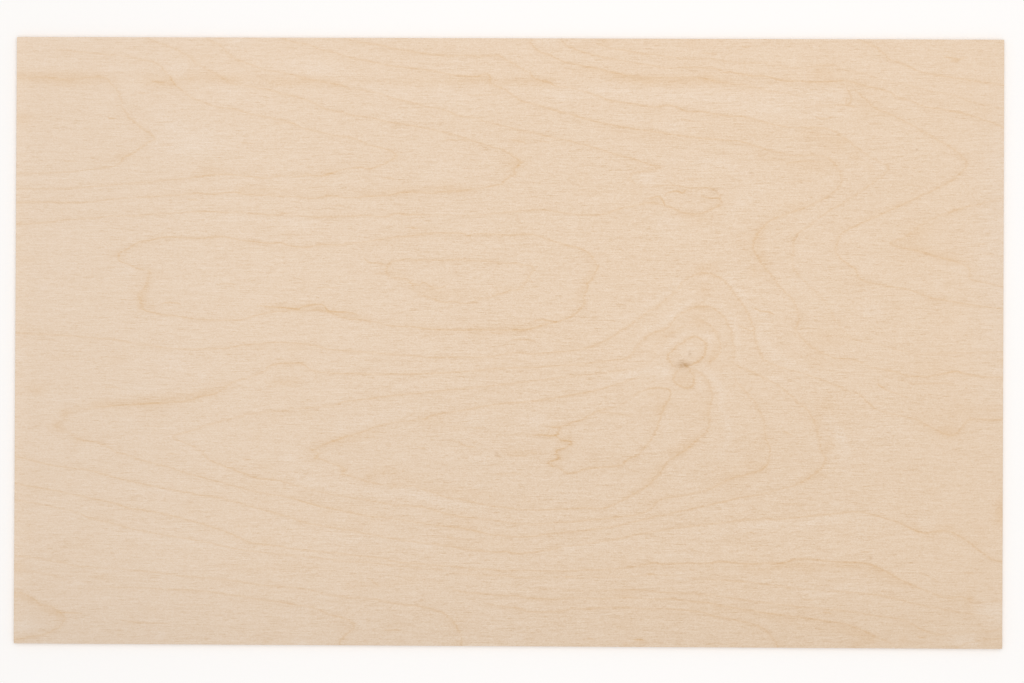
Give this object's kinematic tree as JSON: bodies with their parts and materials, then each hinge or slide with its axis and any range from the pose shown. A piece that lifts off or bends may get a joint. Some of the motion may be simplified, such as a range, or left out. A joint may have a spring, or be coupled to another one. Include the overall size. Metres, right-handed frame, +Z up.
{
  "type": "plywood sheet",
  "caption": "Thin rectangular plywood sheet of three cross-laid glued veneers, with a pale figured face, square trimmed edges and slightly eased arrises.",
  "frame": {"origin": "centre of the underside, which lies on the floor", "axes": "+X along the face grain and the long edges, +Y across the grain towards the far long edge, +Z up out of the face"},
  "size_m": [0.65, 0.4, 0.004],
  "materials": {
    "face_veneer": "fine-sanded, unfinished pale rotary-peeled veneer with a wild figure and one pin knot",
    "core_veneer": "sawn edges only, grain across the sheet",
    "back_veneer": "fine-sanded, unfinished pale rotary-peeled veneer, plainer than the face"
  },
  "bodies": {
    "root": {"back_veneer": "back_veneer", "core_veneer": "core_veneer", "face_veneer": "face_veneer"}
  },
  "joints": []
}
